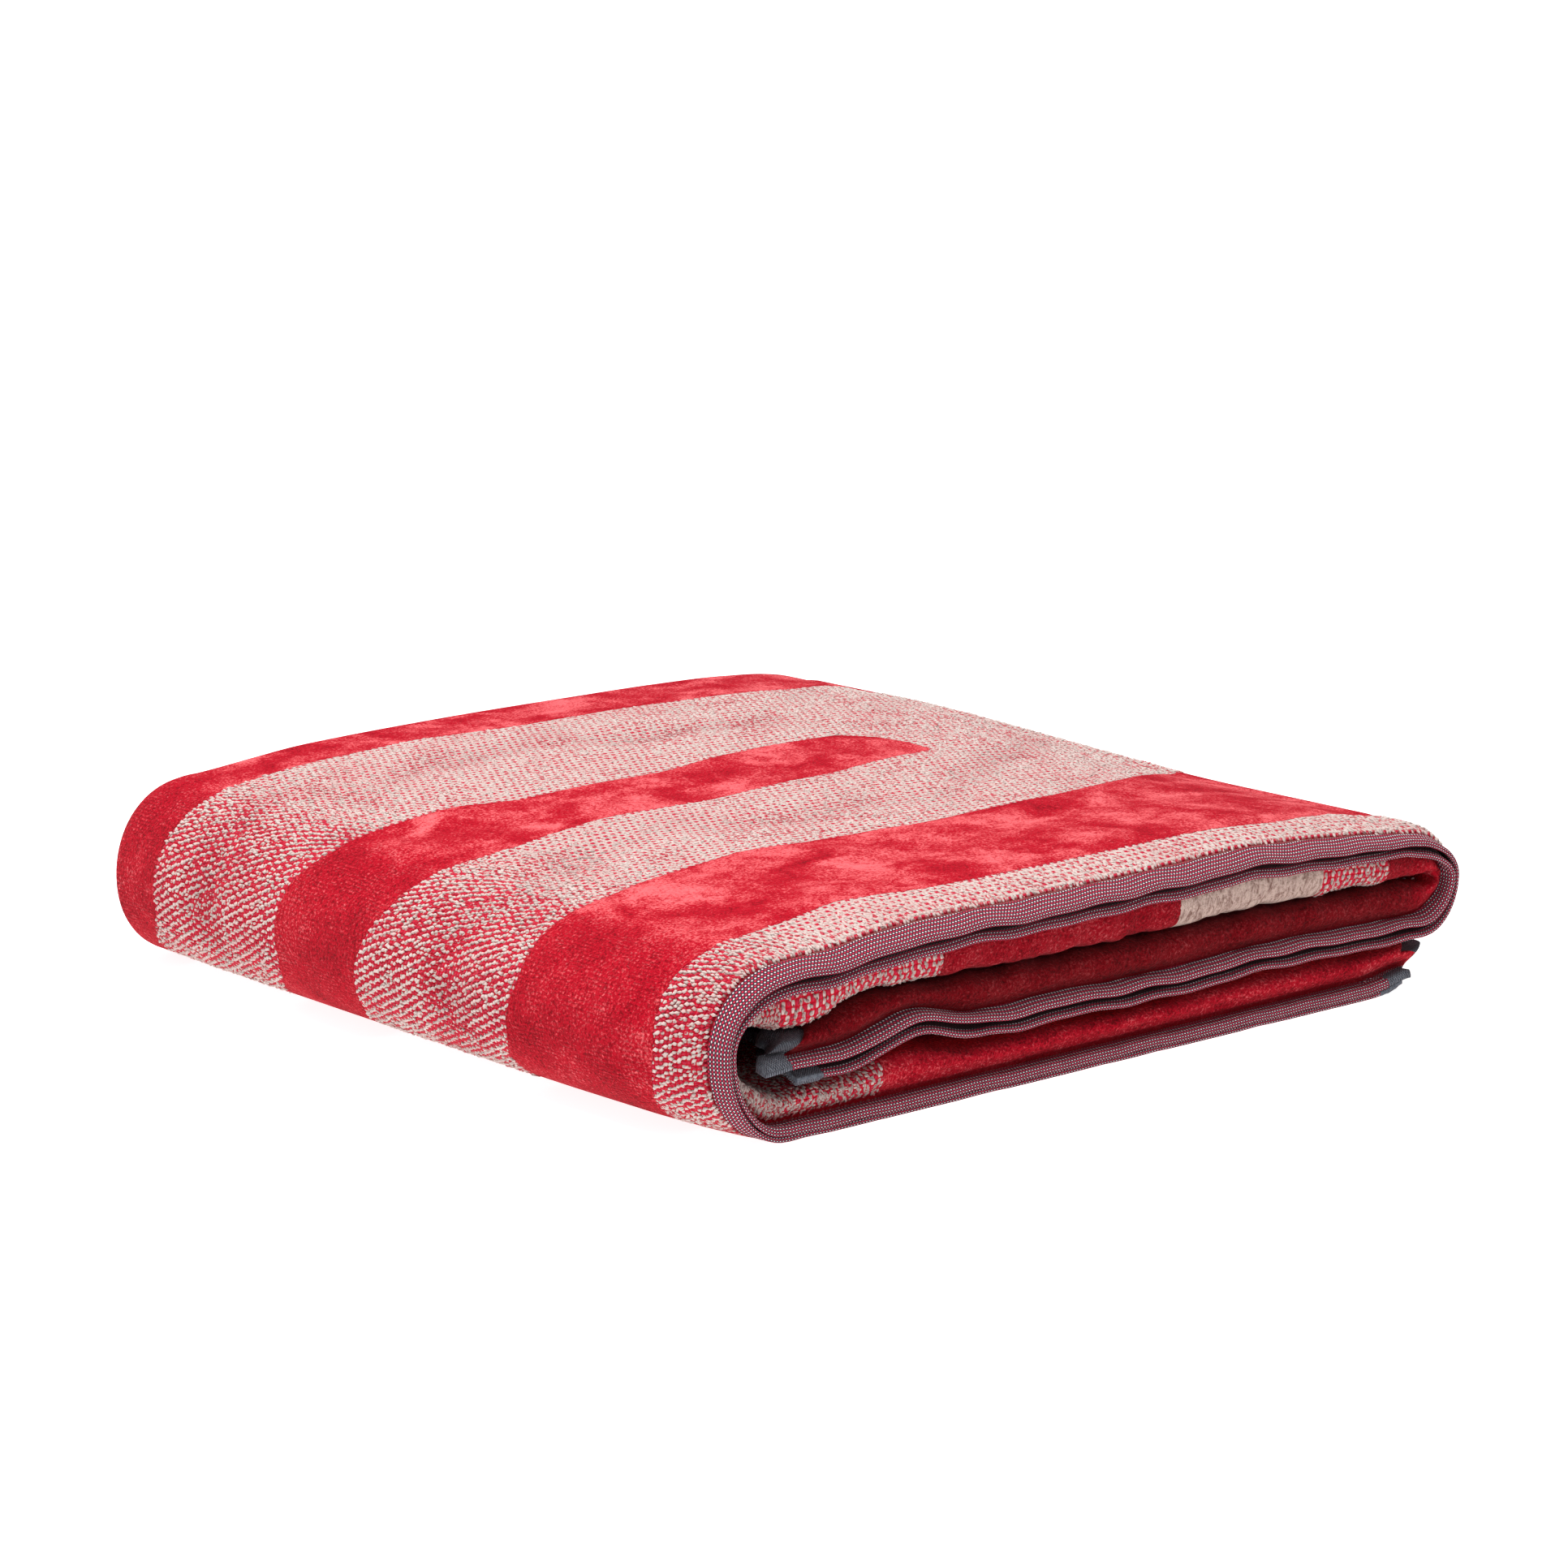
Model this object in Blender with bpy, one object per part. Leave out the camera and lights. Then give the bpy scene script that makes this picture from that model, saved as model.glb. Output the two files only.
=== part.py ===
"""Bath towel, 1.0 x 1.5 m, folded in half selvedge to selvedge and then in thirds.

The whole towel is one cloth and one solid. It starts as a flat grid, one row of points for
each station along its length and one column for each station across its width. Every point
is then moved to where the folds put it, and the grid is extruded to give the cloth its pile.

The half fold makes a double cloth, open at the side hems (front, -Y) and closed at the back.
The double cloth then follows one line, the fold line, drawn here in the XZ plane: along the
bottom from right to left, round the wide left bend, along the top to the right, round the
tighter right bend, and back along the middle to its ends inside the left bend. The outer
ply lies on the outside of that line and the inner ply on its inside, slack and puffed.
Origin: the middle of the footprint, on the surface that the towel rests on.
"""
import math

import bmesh
import bpy
import numpy as np

# ---- driving sizes, metres
PILE = 0.0095             # thickness of the cloth with its pile
HEM = 0.0028              # thickness of a side hem
HEM_WIDTH = 0.0100        # a side hem, from its edge to the pile
END_HEM = 0.0065          # thickness of an end hem, turned over the pile
END_HEM_WIDTH = 0.0160
SEAM_GAP = 0.0006         # each ply's back stands this far off the fold line at the hems
PLY_GAP = 0.0012          # between two pile faces that rest on each other

DEPTH = 0.497             # front edge to the closed fold at the back
FOOTPRINT_MIDDLE = (0.2505, 0.2485)   # where the origin lies, from the front left corner

BOTTOM_LEVEL = PILE + SEAM_GAP      # fold line above the floor along the bottom
BACK_SWELL = 0.11         # the middle plies stand this much taller at the closed folds
SWELL_RUN = 0.33          # and the swelling takes this long, front to back

LEFT_BEND_X = 0.0460      # where the left bend starts and ends
LEFT_BEND_REACH = 0.0345  # how far it reaches left of that at the hems
RIGHT_BEND_X = 0.4750
RIGHT_BEND_REACH = 0.0290
LEFT_BEND_LOFT = 0.0020   # gap between the plies' backs, half way round each bend
RIGHT_BEND_LOFT = 0.0010
CORNER = 0.0150           # the closed fold draws in this much half way round a bend

# Behind the hems the bends stand out further: depth, left bend, right bend.
BULGE = [
    (0.000, 0.0000, 0.0000),
    (0.010, 0.0040, 0.0005),
    (0.030, 0.0100, 0.0015),
    (0.060, 0.0145, 0.0020),
    (0.120, 0.0170, 0.0020),
    (0.300, 0.0170, 0.0020),
    (0.400, 0.0150, 0.0020),
    (0.478, 0.0115, 0.0000),
]

# Where the two plies end: at their side hems, and behind them. The outer ply goes the
# longer way, so it stops short of the inner.
BOTTOM_END = {"outer": (0.4640, 0.4640), "inner": (0.4705, 0.4960)}
MIDDLE_END = {"outer": (0.0500, 0.0500), "inner": (0.0310, 0.0490)}
END_EASE = (0.0060, 0.0220)         # depths where the first ends and the second starts

# Height of the fold line along the top: at the hems, behind them, and at the back.
TOP_LEVEL = [
    # x,     hem,    body,   back
    (0.046, 0.0800, 0.0800, 0.0872),
    (0.080, 0.0830, 0.0832, 0.0905),
    (0.120, 0.0850, 0.0860, 0.0934),
    (0.200, 0.0855, 0.0875, 0.0962),
    (0.300, 0.0862, 0.0885, 0.0969),
    (0.360, 0.0865, 0.0880, 0.0966),
    (0.410, 0.0840, 0.0850, 0.0950),
    (0.450, 0.0805, 0.0795, 0.0908),
    (0.475, 0.0770, 0.0742, 0.0838),
]
HEM_TO_BODY = (0.008, 0.048)
BODY_TO_BACK = (0.140, 0.420)
# Along the middle: the fold line, and the level where the two plies above it rest together.
MIDDLE_LEVEL = [
    # x,     fold,   contact
    (0.030, 0.0345, 0.0500),
    (0.060, 0.0345, 0.0490),
    (0.085, 0.0350, 0.0530),
    (0.108, 0.0355, 0.0580),
    (0.140, 0.0360, 0.0572),
    (0.200, 0.0352, 0.0562),
    (0.290, 0.0345, 0.0560),
    (0.370, 0.0360, 0.0568),
    (0.475, 0.0335, 0.0550),
]
# Ripples of the hems that die out towards the back: run, place, height, half length.
RIPPLES = [
    ("middle", 0.126, 0.0085, 0.021),
    ("middle", 0.225, 0.0012, 0.020),
    ("top", 0.350, 0.0012, 0.045),
    ("top", 0.078, -0.0020, 0.022),
]
RIPPLE_REACH = 0.060
HOLLOW = (0.094, 0.0060, 0.012, 0.045)   # the ply above lifts here: place, height, half, reach

# How far the edge of each hem hangs below its root: outer ply, inner ply. The top run is
# given at its left end and at its right end.
HEM_DROP = {
    "bottom": (0.0000, 0.0000),
    "top": (0.0045, 0.0102),
    "top right": (0.0030, 0.0062),
    "middle": (0.0055, 0.0020),
}
DROP_CHANGE = (0.380, RIGHT_BEND_X)    # the top run's drop changes between these

# Outer ply behind its hem: distance from the edge, thickness.
OUTER_FRONT = [
    (0.0000, 0.0016),
    (0.0012, HEM),
    (HEM_WIDTH, HEM),
    (HEM_WIDTH + 0.0022, 0.0050),
    (0.0200, 0.0072),
    (0.0320, 0.0086),
    (0.0500, PILE),
]
# Inner ply behind its hem, where the pile stands over the hem like a roll. The back's depth
# and its share of the loft, then the pile face's depth and its share of the pile.
INNER_FRONT = [
    # back_y, loft, pile_y, pile
    (0.0000, 0.00, 0.0000, 0.17),
    (0.0012, 0.00, 0.0012, 0.29),
    (0.0100, 0.00, 0.0094, 0.29),
    (0.0118, 0.06, 0.0082, 0.52),
    (0.0134, 0.26, 0.0056, 0.74),
    (0.0152, 0.52, 0.0054, 0.90),
    (0.0178, 0.80, 0.0078, 1.00),
    (0.0220, 0.96, 0.0130, 1.00),
    (0.0300, 1.00, 0.0230, 1.00),
    (0.0500, 1.00, 0.0480, 1.00),
]
BODY_STATIONS = (0.120, 0.210, 0.310, 0.410)   # depth of the columns further back
BACK_FOLD_STEPS = 8
BEND_STEPS = {"left bend": 13, "right bend": 10}
# Stations along the straight runs, in the order the cloth passes them. Plies that rest on
# each other share theirs, so that their faces run side by side.
TOP_STATIONS = (0.046, 0.056, 0.066, 0.078, 0.090, 0.102, 0.114, 0.126, 0.138, 0.152, 0.172,
                0.200, 0.235, 0.270, 0.310, 0.350, 0.385, 0.415, 0.438, 0.458, 0.475)
RUN_STATIONS = {
    "bottom": (0.438, 0.415, 0.385, 0.350, 0.310, 0.270, 0.235, 0.200, 0.172, 0.152, 0.126,
               0.102, 0.078, 0.046),
    "top": TOP_STATIONS,
    "middle": TOP_STATIONS[:2:-1],
}
END_STATIONS = (0.0, 0.0025, 0.0130, END_HEM_WIDTH, END_HEM_WIDTH + 0.0025)
END_PROFILE = (0.45, 0.85, 1.0, 1.0)   # share of the end hem's thickness at each of those


def smooth(t):
    """0 to 1 with level ends."""
    t = np.clip(t, 0.0, 1.0)
    return t * t * (3.0 - 2.0 * t)


def eased(value, limits):
    """0 to 1 between two limits, with level ends."""
    return float(smooth((value - limits[0]) / (limits[1] - limits[0])))


def level(table, x, column=1):
    """Height from a table with x in its first column, rounded between its rows."""
    data = np.array(table)
    xs, zs = data[:, 0], data[:, column]
    slopes = np.gradient(zs, xs)
    i = int(np.clip(np.searchsorted(xs, x) - 1, 0, len(xs) - 2))
    span = xs[i + 1] - xs[i]
    t = float(np.clip((x - xs[i]) / span, 0.0, 1.0))
    a, b = 2 * t**3 - 3 * t**2 + 1, t**3 - 2 * t**2 + t
    c, d = -2 * t**3 + 3 * t**2, t**3 - t**2
    return a * zs[i] + b * span * slopes[i] + c * zs[i + 1] + d * span * slopes[i + 1]


def swell(height, y):
    """A height at the front, raised as far as the towel swells at a depth y."""
    return BOTTOM_LEVEL + (height - BOTTOM_LEVEL) * (1.0 + BACK_SWELL * smooth(y / SWELL_RUN))


def bump(x, y, place, height, half, reach):
    """A soft rise along x that dies out towards the back."""
    return height * smooth(1.0 - abs(x - place) / (2.0 * half)) * smooth(1.0 - y / reach)


def run_level(run, x, y):
    """Height of the fold line on a straight run, at a depth y."""
    if run == "bottom":
        return BOTTOM_LEVEL
    ripple = sum(
        bump(x, y, place, rise, half, RIPPLE_REACH)
        for where, place, rise, half in RIPPLES
        if where == run
    )
    if run == "middle":
        return swell(level(MIDDLE_LEVEL, x) + ripple, y)
    hem, body, back = (level(TOP_LEVEL, x, column) for column in (1, 2, 3))
    behind, deep = eased(y, HEM_TO_BODY), eased(y, BODY_TO_BACK)
    return hem + (body - hem) * behind + (back - body) * deep + ripple


def run_loft(run, x, y):
    """Gap between the backs of the two plies on a straight run, filled up to the contact."""
    contact = swell(level(MIDDLE_LEVEL, x, 2), y)
    here = run_level(run, x, y)
    if run == "top":
        return here - PILE - contact - PLY_GAP / 2 - bump(x, y, *HOLLOW)
    if run == "middle":
        return contact - PLY_GAP / 2 - PILE - here
    return run_level("middle", x, y) - SEAM_GAP - PILE - PLY_GAP - PILE - here


def cloth_ends(share, y):
    """Last x of the bottom and the middle run, share 0 on the outer ply to 1 on the inner."""
    behind = eased(y, END_EASE)
    ends = []
    for table in (BOTTOM_END, MIDDLE_END):
        outer, inner = (
            table[ply][0] + (table[ply][1] - table[ply][0]) * behind
            for ply in ("outer", "inner")
        )
        ends.append(outer + (inner - outer) * share)
    return ends


def fold_line(run, spot, y):
    """Point, outward normal and loft of the fold line; spot is an x, or a turn of a bend."""
    if run in RUN_STATIONS:
        side = 1.0 if run == "top" else -1.0
        near, far = run_level(run, spot - 0.002, y), run_level(run, spot + 0.002, y)
        tilt = math.atan2(far - near, 0.004)
        normal = np.array([-math.sin(tilt) * side, math.cos(tilt) * side])
        return np.array([spot, run_level(run, spot, y)]), normal, run_loft(run, spot, y)
    depths, left_bulge, right_bulge = np.array(BULGE).T
    if run == "left bend":
        centre, reach, side = LEFT_BEND_X, LEFT_BEND_REACH, -1.0
        reach += np.interp(y, depths, left_bulge)
        runs, dip = ("bottom", "top"), LEFT_BEND_LOFT
    else:
        centre, reach, side = RIGHT_BEND_X, RIGHT_BEND_REACH, 1.0
        reach += np.interp(y, depths, right_bulge)
        runs, dip = ("top", "middle"), RIGHT_BEND_LOFT
    from_z, to_z = (run_level(r, centre, y) for r in runs)
    from_loft, to_loft = (run_loft(r, centre, y) for r in runs)
    middle, half = (from_z + to_z) / 2, (to_z - from_z) / 2
    point = np.array([centre + side * reach * math.sin(spot), middle - half * math.cos(spot)])
    normal = np.array([side * math.sin(spot) / reach, -math.cos(spot) / half])
    normal /= np.linalg.norm(normal)
    loft = from_loft + (to_loft - from_loft) * spot / math.pi
    loft += (dip - loft) * math.sin(spot) ** 1.5
    return point, normal, loft


def hem_drop(run, spot, normal):
    """Hem drop of both plies, eased out round the bends."""
    if run == "top":
        right = eased(spot, DROP_CHANGE)
        return [
            a + (b - a) * right for a, b in zip(HEM_DROP["top"], HEM_DROP["top right"])
        ]
    if run in HEM_DROP:
        return HEM_DROP[run]
    near, far = ("bottom", "top") if run == "left bend" else ("top right", "middle")
    share = abs(float(normal[1]))
    return [drop * share for drop in HEM_DROP[near if spot < math.pi / 2 else far]]


def thickness(y):
    return float(np.interp(y, *np.array(OUTER_FRONT).T))


def rows():
    """Rows along the cloth: (run, x or turn), or (run, None, distance from the cloth's end)."""
    found = [("bottom", None, d) for d in END_STATIONS]
    found += [("bottom", x, None) for x in RUN_STATIONS["bottom"]]
    for run in ("left bend", "top", "right bend", "middle"):
        if run in BEND_STEPS:
            steps = BEND_STEPS[run]
            found += [(run, math.pi * i / steps, None) for i in range(1, steps)]
        else:
            found += [(run, x, None) for x in RUN_STATIONS[run]]
    return found + [("middle", None, d) for d in reversed(END_STATIONS)]


def columns():
    """Columns across the cloth, from the outer ply's edge to the inner ply's edge.

    Each is (ply, back depth, loft share, pile depth, pile share), and the back fold is
    given as a turn of 0 to 1 instead.
    """
    rows = [("outer", d, 1.0, d, t / PILE) for d, t in OUTER_FRONT]
    rows += [("outer", d, 1.0, d, 1.0) for d in BODY_STATIONS]
    rows += [("fold", i / BACK_FOLD_STEPS, 1.0, 0.0, 1.0) for i in range(BACK_FOLD_STEPS + 1)]
    rows += [("inner", d, 1.0, d, 1.0) for d in reversed(BODY_STATIONS)]
    rows += [("inner",) + row for row in reversed(INNER_FRONT)]
    return rows


def end_share(run, spot, ends):
    """Share of the pile's thickness where the cloth ends in its end hem, else 1."""
    if run not in ("bottom", "middle"):
        return 1.0
    from_end = ends[0] - spot if run == "bottom" else spot - ends[1]
    profile = [share * END_HEM / PILE for share in END_PROFILE] + [1.0]
    return float(np.interp(from_end, END_STATIONS, profile))


def place(row, column, pile_side):
    """Point of the folded cloth for a row and a column, on its back or its pile face."""
    run, spot, from_end = row
    ply, depth, loft_share, pile_depth, pile_share = column
    turn = depth if ply == "fold" else float(ply == "inner")
    back_depth = DEPTH - PILE - 0.010
    y = back_depth if ply == "fold" else depth
    ends = cloth_ends(turn, y)
    if spot is None:
        spot = ends[0] - from_end if run == "bottom" else ends[1] + from_end
    point, normal, loft = fold_line(run, spot, y)
    thick = end_share(run, spot, ends) if pile_side else 0.0
    if ply == "fold":
        radius = (SEAM_GAP + loft) / 2
        reach = radius + PILE * thick
        offset = (SEAM_GAP - loft) / 2 + reach * math.cos(math.pi * turn)
        drawn_in = CORNER * math.sin(spot) ** 2 if run in BEND_STEPS else 0.0
        y = DEPTH - drawn_in - PILE - radius + reach * math.sin(math.pi * turn)
        x, z = point + normal * offset
        return x, y, max(z, 0.0)
    share = min(pile_share, thick)
    if pile_side:
        y = depth + (pile_depth - depth) * share / pile_share
    outer_drop, inner_drop = hem_drop(run, spot, normal)
    hang = max(0.0, 1.0 - depth / HEM_WIDTH)
    if ply == "outer":
        offset = SEAM_GAP + PILE * share
        drop = outer_drop * hang
    else:
        offset = -(SEAM_GAP + max(loft - SEAM_GAP, 0.0) * loft_share + PILE * share)
        drop = inner_drop * hang
    # Along the bottom the hems sink with the outer ply's pile, which lies flat on the floor.
    if run == "bottom" or (run == "left bend" and spot < math.pi / 2):
        drop += (PILE - thickness(depth)) * max(0.0, -float(normal[1]))
    x, z = point + normal * offset
    return x, y, max(z - drop, 0.0)


def cloth(name):
    """The folded cloth: a flat grid, folded, then extruded to its pile."""
    keys = [(row, column) for row in rows() for column in columns()]
    mesh = bpy.data.meshes.new(name)
    sheet = bmesh.new()
    bmesh.ops.create_grid(
        sheet, x_segments=len(columns()) - 1, y_segments=len(rows()) - 1, size=0.5
    )
    order = sorted(sheet.verts, key=lambda v: (round(v.co.y, 6), round(v.co.x, 6)))
    back = dict(zip(order, keys))
    at = {(round(v.co.x, 6), round(v.co.y, 6)): key for v, key in back.items()}
    lifted = bmesh.ops.extrude_face_region(sheet, geom=list(sheet.faces), use_keep_orig=True)
    pile = {
        vert: at[(round(vert.co.x, 6), round(vert.co.y, 6))]
        for vert in lifted["geom"]
        if isinstance(vert, bmesh.types.BMVert)
    }
    for side, is_pile in ((back, False), (pile, True)):
        for vert, (row, column) in side.items():
            x, y, z = place(row, column, is_pile)
            vert.co = (x - FOOTPRINT_MIDDLE[0], y - FOOTPRINT_MIDDLE[1], z)
    bmesh.ops.recalc_face_normals(sheet, faces=list(sheet.faces))
    if sheet.calc_volume(signed=True) < 0.0:
        bmesh.ops.reverse_faces(sheet, faces=list(sheet.faces))
    sheet.to_mesh(mesh)
    sheet.free()
    mesh.shade_smooth()
    return mesh


def terry(name):
    """Red cotton terry."""
    material = bpy.data.materials.new(name)
    material.use_nodes = True
    shader = material.node_tree.nodes["Principled BSDF"]
    shader.inputs["Base Color"].default_value = (0.46, 0.02, 0.05, 1.0)
    shader.inputs["Roughness"].default_value = 0.95
    shader.inputs["Metallic"].default_value = 0.0
    return material


for old in list(bpy.data.objects):
    bpy.data.objects.remove(old, do_unlink=True)
collection = bpy.data.collections.new("bath_towel")
bpy.context.scene.collection.children.link(collection)

towel = bpy.data.objects.new("towel", cloth("towel"))
towel.data.materials.append(terry("terry"))
collection.objects.link(towel)
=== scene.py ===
import math

import bmesh
import bpy
import numpy as np
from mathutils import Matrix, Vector


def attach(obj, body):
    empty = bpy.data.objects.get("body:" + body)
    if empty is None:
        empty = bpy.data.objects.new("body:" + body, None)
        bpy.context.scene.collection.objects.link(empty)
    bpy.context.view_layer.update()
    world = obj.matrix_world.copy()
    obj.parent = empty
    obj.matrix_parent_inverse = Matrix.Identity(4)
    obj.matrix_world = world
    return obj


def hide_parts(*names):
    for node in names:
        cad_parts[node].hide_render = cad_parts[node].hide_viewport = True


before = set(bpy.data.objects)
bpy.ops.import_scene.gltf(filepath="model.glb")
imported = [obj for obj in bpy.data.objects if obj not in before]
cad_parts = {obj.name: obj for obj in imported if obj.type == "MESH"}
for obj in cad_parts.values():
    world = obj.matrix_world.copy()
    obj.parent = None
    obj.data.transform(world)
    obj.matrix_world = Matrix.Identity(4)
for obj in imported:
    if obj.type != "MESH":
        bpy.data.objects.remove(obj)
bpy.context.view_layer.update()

# ---------------------------------------------------------------------------------------
# Cloth. One bath sheet of cotton terry, 1.0 x 1.5 m, doubled across its width and folded in
# thirds along its length. It is woven in one piece: pile in the field, flat woven side hems
# 10 mm wide, and end hems 16 mm wide turned over the pile.

# Thicknesses, widths and gaps in metres. y, or depth, runs back from the front hems.
PILE = 0.0095
HEM = 0.0028
HEM_WIDTH = 0.0100
END_HEM = 0.0065
END_HEM_WIDTH = 0.0160
SEAM_GAP = 0.0006
PLY_GAP = 0.0012
DEPTH = 0.497
FOOTPRINT_MIDDLE = (0.2505, 0.2485)
BOTTOM_LEVEL = PILE + SEAM_GAP
BACK_SWELL = 0.11
SWELL_RUN = 0.33
LEFT_BEND_X = 0.0460
LEFT_BEND_REACH = 0.0345
RIGHT_BEND_X = 0.4750
RIGHT_BEND_REACH = 0.0290
LEFT_BEND_LOFT = 0.0020
RIGHT_BEND_LOFT = 0.0010
CORNER = 0.0150
# Depth, and how much further the left and the right bend reach there.
BULGE = [
    (0.000, 0.0000, 0.0000),
    (0.010, 0.0040, 0.0005),
    (0.030, 0.0100, 0.0015),
    (0.060, 0.0145, 0.0020),
    (0.120, 0.0170, 0.0020),
    (0.300, 0.0170, 0.0020),
    (0.400, 0.0150, 0.0020),
    (0.478, 0.0115, 0.0000),
]
# x of both plies' ends, at the front and further in.
BOTTOM_END = {"outer": (0.4640, 0.4640), "inner": (0.4705, 0.4960)}
MIDDLE_END = {"outer": (0.0500, 0.0500), "inner": (0.0310, 0.0490)}
END_EASE = (0.0060, 0.0220)
# x, and the height of the top at its hems, just behind them and at the back fold.
TOP_LEVEL = [
    (0.046, 0.0800, 0.0800, 0.0872),
    (0.080, 0.0830, 0.0832, 0.0905),
    (0.120, 0.0850, 0.0860, 0.0934),
    (0.200, 0.0855, 0.0875, 0.0962),
    (0.300, 0.0862, 0.0885, 0.0969),
    (0.360, 0.0865, 0.0880, 0.0966),
    (0.410, 0.0840, 0.0850, 0.0950),
    (0.450, 0.0805, 0.0795, 0.0908),
    (0.475, 0.0770, 0.0742, 0.0838),
]
# The free end of the bottom curls up a little at the front.
CURL_FROM, CURL_RUN, CURL_LIFT, CURL_REACH = 0.430, 0.040, 0.0050, 0.070
HEM_TO_BODY = (0.008, 0.048)
BODY_TO_BACK = (0.140, 0.420)
# x, the height of the middle, and the height where it meets the top.
MIDDLE_LEVEL = [
    (0.030, 0.0345, 0.0500),
    (0.060, 0.0345, 0.0490),
    (0.085, 0.0350, 0.0530),
    (0.108, 0.0355, 0.0580),
    (0.140, 0.0360, 0.0572),
    (0.200, 0.0352, 0.0562),
    (0.290, 0.0345, 0.0560),
    (0.370, 0.0360, 0.0568),
    (0.475, 0.0335, 0.0550),
]
# Where a run is humped at the front: x, height and half width.
RIPPLES = [
    ("middle", 0.126, 0.0085, 0.021),
    ("middle", 0.225, 0.0012, 0.020),
    ("top", 0.350, 0.0012, 0.045),
    ("top", 0.078, -0.0020, 0.022),
]
RIPPLE_REACH = 0.060
HOLLOW = (0.094, 0.0060, 0.012, 0.045)
# How far the side hems of the outer and of the inner ply sag.
HEM_DROP = {
    "bottom": (0.0000, 0.0000),
    "top": (0.0060, 0.0097),
    "top right": (0.0034, 0.0056),
    "middle": (0.0055, 0.0020),
}
DROP_CHANGE = (0.380, RIGHT_BEND_X)
# Depth and thickness of the outer ply.
OUTER_FRONT = [
    (0.0000, 0.0014),
    (0.0006, 0.0024),
    (0.0014, HEM),
    (HEM_WIDTH, HEM),
    (HEM_WIDTH + 0.0008, 0.0044),
    (HEM_WIDTH + 0.0026, 0.0054),
    (0.0200, 0.0072),
    (0.0320, 0.0086),
    (0.0500, PILE),
]
# Depth of the inner ply's back, share of the loft, depth of its pile, share of the pile.
INNER_FRONT = [
    (0.0000, 0.00, 0.0000, 0.15),
    (0.0006, 0.00, 0.0006, 0.25),
    (0.0014, 0.00, 0.0014, 0.29),
    (0.0100, 0.00, 0.0094, 0.29),
    (0.0118, 0.06, 0.0082, 0.52),
    (0.0134, 0.26, 0.0056, 0.74),
    (0.0152, 0.52, 0.0054, 0.90),
    (0.0178, 0.80, 0.0078, 1.00),
    (0.0220, 0.96, 0.0130, 1.00),
    (0.0300, 1.00, 0.0230, 1.00),
    (0.0500, 1.00, 0.0480, 1.00),
]


def smooth(t):
    """0 to 1 with level ends."""
    t = np.clip(t, 0.0, 1.0)
    return t * t * (3.0 - 2.0 * t)


def eased(value, limits):
    return smooth((value - limits[0]) / (limits[1] - limits[0]))


def window(value, first, rise, last, fall):
    """1 between two places, eased to 0 at both."""
    return smooth((value - first) / rise) * smooth((last - value) / fall)


def level(table, x, column=1):
    """Height from a table with x in its first column, rounded between its rows."""
    data = np.array(table)
    xs, zs = data[:, 0], data[:, column]
    slopes = np.gradient(zs, xs)
    i = int(np.clip(np.searchsorted(xs, x) - 1, 0, len(xs) - 2))
    span = xs[i + 1] - xs[i]
    t = float(np.clip((x - xs[i]) / span, 0.0, 1.0))
    a, b = 2 * t**3 - 3 * t**2 + 1, t**3 - 2 * t**2 + t
    c, d = -2 * t**3 + 3 * t**2, t**3 - t**2
    return a * zs[i] + b * span * slopes[i] + c * zs[i + 1] + d * span * slopes[i + 1]


def swell(height, y):
    """The stack is fuller towards its closed back fold."""
    return BOTTOM_LEVEL + (height - BOTTOM_LEVEL) * (1.0 + BACK_SWELL * smooth(y / SWELL_RUN))


def bump(x, y, place, height, half, reach):
    """A low hump across a run, highest at its front."""
    return height * smooth(1.0 - abs(x - place) / (2.0 * half)) * smooth(1.0 - y / reach)


def run_level(run, x, y):
    """Height of the fold line of one third of the towel."""
    if run == "bottom":
        return np.full_like(y, BOTTOM_LEVEL)
    ripple = sum(bump(x, y, p, r, h, RIPPLE_REACH) for w, p, r, h in RIPPLES if w == run)
    if run == "middle":
        return swell(level(MIDDLE_LEVEL, x) + ripple, y)
    hem, body, back = (level(TOP_LEVEL, x, column) for column in (1, 2, 3))
    behind, deep = eased(y, HEM_TO_BODY), eased(y, BODY_TO_BACK)
    return hem + (body - hem) * behind + (back - body) * deep + ripple


def run_loft(run, x, y):
    """Slack between the two plies of one third."""
    contact = swell(level(MIDDLE_LEVEL, x, 2), y)
    here = run_level(run, x, y)
    if run == "top":
        return here - PILE - contact - PLY_GAP / 2 - bump(x, y, *HOLLOW)
    if run == "middle":
        return contact - PLY_GAP / 2 - PILE - here
    return run_level("middle", x, y) - SEAM_GAP - PILE - PLY_GAP - PILE - here


# Behind its front corner the end of the middle draws back: by how much, from and over.
DRAWN_BACK = (0.026, 0.026, 0.030)


def cloth_ends(share, y):
    """x of the two ends of the cloth; share is 0 on the outer ply and 1 on the inner."""
    behind = eased(y, END_EASE)
    ends = []
    for table in (BOTTOM_END, MIDDLE_END):
        outer, inner = (
            table[ply][0] + (table[ply][1] - table[ply][0]) * behind
            for ply in ("outer", "inner")
        )
        ends.append(outer + (inner - outer) * share)
    more, first, reach = DRAWN_BACK
    ends[1] = ends[1] + more * smooth((y - first) / reach)
    return ends


# Half the length over which the slope of a run is taken.
SLOPE_STEP = 0.002


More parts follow.
